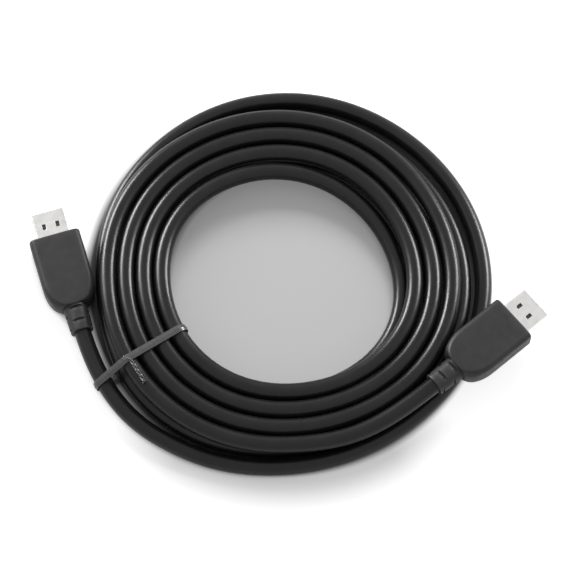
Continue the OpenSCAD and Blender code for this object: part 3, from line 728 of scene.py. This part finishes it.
def ribbon_section():
    """Half widths and heights of the ribbon: thin wings and a ridge over the wire."""
    out = []
    for k in range(ribbon_points):
        a = 2 * math.pi * k / ribbon_points
        y = tie_w / 2 * math.copysign(abs(math.cos(a)) ** wing_power, math.cos(a))
        rise = ribbon_t / 2 + (ridge_t - ribbon_t) / 2 * math.exp(-(y / ridge_half) ** 2)
        out.append((y, rise * math.copysign(abs(math.sin(a)) ** edge_power, math.sin(a))))
    return out


def crossings(angle):
    """Where the cord passes through an upright plane at that angle: distance out and height."""
    rel = route - np.array(coil_at)
    a = np.degrees(np.arctan2(rel[:, 1], rel[:, 0])) - angle
    a = (a + 180) % 360 - 180
    found = []
    for i in range(len(rel) - 1):
        # on the coil's far side the angle jumps from 180 to -180
        if a[i] * a[i + 1] <= 0 and abs(a[i] - a[i + 1]) < 180:
            t = a[i] / (a[i] - a[i + 1])
            p = rel[i] + t * (rel[i + 1] - rel[i])
            found.append((math.hypot(p[0], p[1]), p[2]))
    return found


def hull_line(circles, r, steps):
    """An evenly stepped loop round circles of one radius, as a band pulled tight round them."""
    angles = [2 * math.pi * k / circle_points for k in range(circle_points)]
    cloud = sorted((x + r * math.cos(a), z + r * math.sin(a)) for x, z in circles for a in angles)

    def half(points):
        chain = []
        for p in points:
            while len(chain) > 1 and ((chain[-1][0] - chain[-2][0]) * (p[1] - chain[-2][1])
                                      <= (chain[-1][1] - chain[-2][1]) * (p[0] - chain[-2][0])):
                chain.pop()
            chain.append(p)
        return chain[:-1]
    loop = np.array(half(cloud) + half(cloud[::-1]))
    loop = np.vstack([loop, loop[:1]])
    at = np.concatenate([[0], np.cumsum(np.linalg.norm(np.diff(loop, axis=0), axis=1))])
    even = np.linspace(0, at[-1], steps, endpoint=False)
    return np.stack([np.interp(even, at, loop[:, k]) for k in range(2)], axis=1)


out_way = Vector((math.cos(math.radians(tie_angle)), math.sin(math.radians(tie_angle)), 0))
side_way = Vector((-out_way.y, out_way.x, 0))
turns = crossings(tie_angle)
band = hull_line(turns, cord_d / 2 + tie_fit + ridge_t / 2, tie_steps)
rings = []
for i, (x, z) in enumerate(band):
    ahead, behind = band[(i + 1) % tie_steps], band[i - 1]
    run = Vector(ahead - behind).normalized()
    up = out_way * run.y - Vector((0, 0, 1)) * run.x
    middle = coil_at + out_way * x + Vector((0, 0, z))
    ring = [middle + side_way * y + up * h for y, h in ribbon_section()]
    rings.append([Vector((p.x, p.y, max(p.z, table_skim))) for p in ring])
band_piece = lofted("twist_tie", rings, closed=True)

top_x, top_z = max(p for p in turns if p[1] > high_z)
root = coil_at + out_way * top_x + Vector((0, 0, top_z + cord_d / 2 + tie_fit + twist_rise))
for strand in (0, 1):
    rings = []
    for k in range(strand_steps + 1):
        s = k / strand_steps
        turn = 2 * math.pi * (twist_len * s / twist_pitch) + math.pi * strand
        wide = min(1.0, root_share + share_gain * s) * (1 if s < tip_from else tip_share)
        arm = out_way * math.cos(turn) + Vector((0, 0, 1)) * math.sin(turn)
        flat = out_way * -math.sin(turn) + Vector((0, 0, 1)) * math.cos(turn)
        spread = strand_off + parting * max(0.0, s - part_from) / (1 - part_from)
        middle = root + side_way * (twist_len * s) + arm * spread
        rings.append([middle + flat * (y * strand_share * wide) + arm * h
                      for y, h in ribbon_section()])
    strand_piece = lofted("strand", rings)
    joined = bmesh.new()
    joined.from_mesh(band_piece.data)
    joined.from_mesh(strand_piece.data)
    joined.to_mesh(band_piece.data)
    joined.free()
    bpy.data.objects.remove(strand_piece)

tie_plastic, tree, shader = finish("tie_plastic", (0.10, 0.10, 0.10), 0.25)
where = add(tree, "ShaderNodeTexCoord").outputs["Object"]
wavy = add(tree, "ShaderNodeTexNoise", {"Vector": where, "Scale": 700.0, "Detail": 3.0})
rough_skin(tree, shader, wavy.outputs["Fac"], 0.00006)
tree.links.new(mottle(tree, where, 900.0, 0.18, 0.32).outputs[0], shader.inputs["Roughness"])
tree.links.new(shades(tree, wavy.outputs["Fac"], (0.085, 0.085, 0.086), (0.13, 0.13, 0.132)),
               shader.inputs["Base Color"])
band_piece.data.materials.append(tie_plastic)
smooth_shaded(band_piece, 50)
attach(band_piece, "root")
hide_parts("wire_tie")


# ---- Floor, lamps and surroundings -----------------------------------------------------
# A pale table, with a wide lamp behind the coil and a soft box low on either side. Its own
# light, and its colour as painted shade, are less where the coil keeps light away from it.
def direct_rays(tree):
    """1 for what the camera sees, straight or in a gloss or through something clear."""
    rays = add(tree, "ShaderNodeLightPath")
    mirrored = add(tree, "ShaderNodeMath", {0: rays.outputs["Is Camera Ray"],
                                            1: rays.outputs["Is Glossy Ray"]}, operation="MAXIMUM")
    return add(tree, "ShaderNodeMath", {0: mirrored.outputs[0],
                                        1: rays.outputs["Is Transmission Ray"]},
               operation="MAXIMUM")


floor_half, floor_drop = 3, 0.0001
# distances from the coil's middle: where the opening ends, where the coil ends, and how far
# in front of it the shadow reaches; nothing inside under_coil counts as in front
opening_edge, coil_edge, front_edge_r = (0.046, 0.050), (0.079, 0.083), (0.085, 0.104)
under_coil = 0.065
# the share of light lost in front, and between which slopes the front fades out
front_loss, front_slope = 0.56, (-0.86, -0.66)
# how near a gap's walls have to be, and how open to the sky it is when dark and when lit
nook_reach, nook_open = 0.006, (0.28, 0.60)

floor_mesh = bpy.data.meshes.new("floor")
floor_mesh.from_pydata([(x * floor_half, y * floor_half, -floor_drop)
                        for x, y in ((-1, -1), (1, -1), (1, 1), (-1, 1))], [], [(0, 1, 2, 3)])
floor = bpy.data.objects.new("floor", floor_mesh)
bpy.context.scene.collection.objects.link(floor)
table, tree, shader = finish("pale_table", (0.80, 0.80, 0.80), 0.6, specular=0.2)
where = add(tree, "ShaderNodeTexCoord").outputs["Object"]
from_middle = add(tree, "ShaderNodeVectorMath", {0: where, 1: tuple(coil_at)},
                  operation="DISTANCE").outputs["Value"]
# the floor's colour, painted darker as shade in the coil's middle and under the turns, and
# its own light: in the coil's middle, under the turns, and outside
zones = {}
for label, inner, under, outer in (("shade", 0.60, 0.10, 0.80), ("glow", 0.15, 0.0, 0.78)):
    step = add(tree, "ShaderNodeMapRange", {
        "Value": from_middle, "From Min": opening_edge[0], "From Max": opening_edge[1],
        "To Min": inner, "To Max": under})
    rise = add(tree, "ShaderNodeMapRange", {
        "Value": from_middle, "From Min": coil_edge[0], "From Max": coil_edge[1],
        "To Min": 0.0, "To Max": outer - under})
    zones[label] = add(tree, "ShaderNodeMath", {0: step.outputs[0], 1: rise.outputs[0]},
                       operation="ADD")
# in front of the coil the floor gives less light of its own, so that the shadow there is deeper
ahead = add(tree, "ShaderNodeSeparateXYZ", {0: where})
slope = add(tree, "ShaderNodeMath", {0: ahead.outputs["Y"], 1: from_middle}, operation="DIVIDE")
facing = add(tree, "ShaderNodeMapRange", {
    "Value": slope.outputs[0], "From Min": front_slope[0], "From Max": front_slope[1],
    "To Min": 1.0, "To Max": 0.0})
close = add(tree, "ShaderNodeMapRange", {
    "Value": from_middle, "From Min": front_edge_r[0], "From Max": front_edge_r[1],
    "To Min": front_loss, "To Max": 0.0})
beyond = add(tree, "ShaderNodeMath", {0: from_middle, 1: under_coil}, operation="GREATER_THAN")
ringed = add(tree, "ShaderNodeMath", {0: beyond.outputs[0], 1: close.outputs[0]},
             operation="MULTIPLY")
dimmed = add(tree, "ShaderNodeMath", {0: facing.outputs[0], 1: ringed.outputs[0]},
             operation="MULTIPLY")
fade = add(tree, "ShaderNodeMath", {0: 1.0, 1: dimmed.outputs[0]}, operation="SUBTRACT")
# the painted shade inside and under the coil goes into the floor's colour
grey = add(tree, "ShaderNodeCombineColor", {k: zones["shade"].outputs[0] for k in range(3)})
tree.links.new(grey.outputs[0], shader.inputs["Base Color"])
seen = direct_rays(tree)
faded = add(tree, "ShaderNodeMath", {0: fade.outputs[0], 1: zones["glow"].outputs[0]},
            operation="MULTIPLY")
# a narrow gap between two cords stays dark, as it would on a real table
nook = add(tree, "ShaderNodeAmbientOcclusion", {"Distance": nook_reach}, samples=16)
open_sky = add(tree, "ShaderNodeMapRange", {
    "Value": nook.outputs["AO"], "From Min": nook_open[0], "From Max": nook_open[1],
    "To Min": 0.0, "To Max": 1.0})
lit = add(tree, "ShaderNodeMath", {0: faded.outputs[0], 1: open_sky.outputs[0]},
          operation="MULTIPLY")
amount = add(tree, "ShaderNodeMath", {0: seen.outputs[0], 1: lit.outputs[0]},
             operation="MULTIPLY")
glow = add(tree, "ShaderNodeEmission", {"Color": (1, 1, 1, 1), "Strength": amount.outputs[0]})
both = add(tree, "ShaderNodeAddShader", {0: shader.outputs[0], 1: glow.outputs[0]})
tree.links.new(both.outputs[0], tree.nodes["Material Output"].inputs["Surface"])
floor.data.materials.append(table)


def lamp(name, azimuth, height, away, size, watts):
    """A soft box aimed at the coil: azimuth 0 is behind it and 90 on its right."""
    a, e = math.radians(azimuth), math.radians(height)
    way = Vector((math.sin(a) * math.cos(e), math.cos(a) * math.cos(e), math.sin(e)))
    data = bpy.data.lights.new(name, "AREA")
    data.shape, data.size, data.size_y, data.energy = "RECTANGLE", size[0], size[1], watts
    made = bpy.data.objects.new(name, data)
    bpy.context.scene.collection.objects.link(made)
    made.location = coil_at + away * way
    made.rotation_euler = way.to_track_quat("Z", "Y").to_euler()
    return made


lamp("wide_lamp", 10, 36, 1.2, (0.7, 0.5), 9).visible_glossy = False
# two strips low on either side draw the long highlights, and add no other light
lamp("left_strip", -51, 24, 1.0, (0.45, 0.25), 18).visible_diffuse = False
lamp("right_strip", 61, 24, 1.0, (0.40, 0.25), 14).visible_diffuse = False

world = bpy.data.worlds.new("surroundings")
bpy.context.scene.world = world
world.use_nodes = True
tree = world.node_tree
soft = tree.nodes["Background"]
soft.inputs["Color"].default_value = (1, 1, 1, 1)
soft.inputs["Strength"].default_value = 0.30
white = add(tree, "ShaderNodeBackground", {"Color": (1, 1, 1, 1), "Strength": 1.0})
mixed = add(tree, "ShaderNodeMixShader", {0: direct_rays(tree).outputs[0], 1: soft.outputs[0],
                                          2: white.outputs[0]})
tree.links.new(mixed.outputs[0], tree.nodes["World Output"].inputs["Surface"])

bpy.context.scene.view_settings.view_transform = "Standard"
